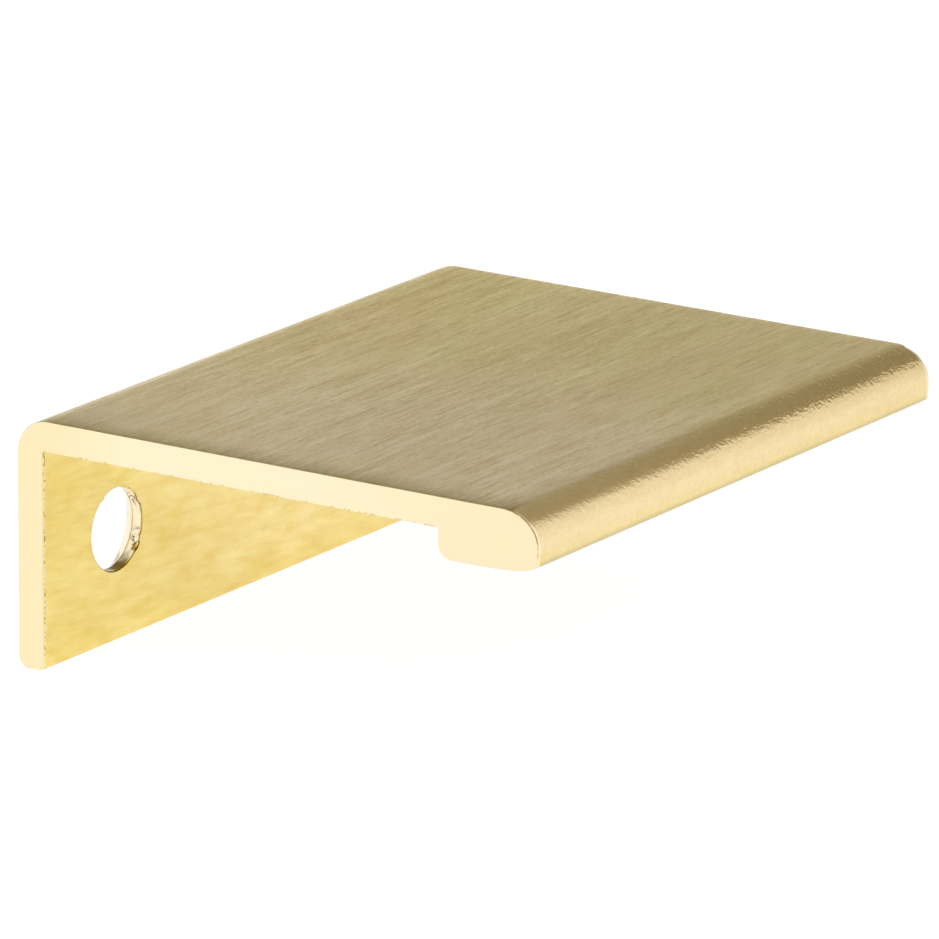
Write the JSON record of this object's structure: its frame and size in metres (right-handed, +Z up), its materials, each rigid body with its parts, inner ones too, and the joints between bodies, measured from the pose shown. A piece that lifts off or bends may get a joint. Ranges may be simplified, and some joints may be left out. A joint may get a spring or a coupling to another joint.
{
  "type": "tab pull",
  "caption": "L-section brass tab pull: a flat plate over the board's edge, a rounded lip in front as the grip, and a rear leg drilled for screws.",
  "frame": {"origin": "midway between the two screw holes, on the leg's inner face, which seats against the rear of the board", "axes": "+X along the pull, parallel to the board's edge; -Y from the leg towards the lip in front; +Z up, out of the plate's top"},
  "size_m": [0.038, 0.032, 0.0135],
  "materials": {
    "brass_body": "satin, fine brushing along the length"
  },
  "bodies": {
    "root": {"tab_pull": "brass_body"}
  },
  "joints": []
}
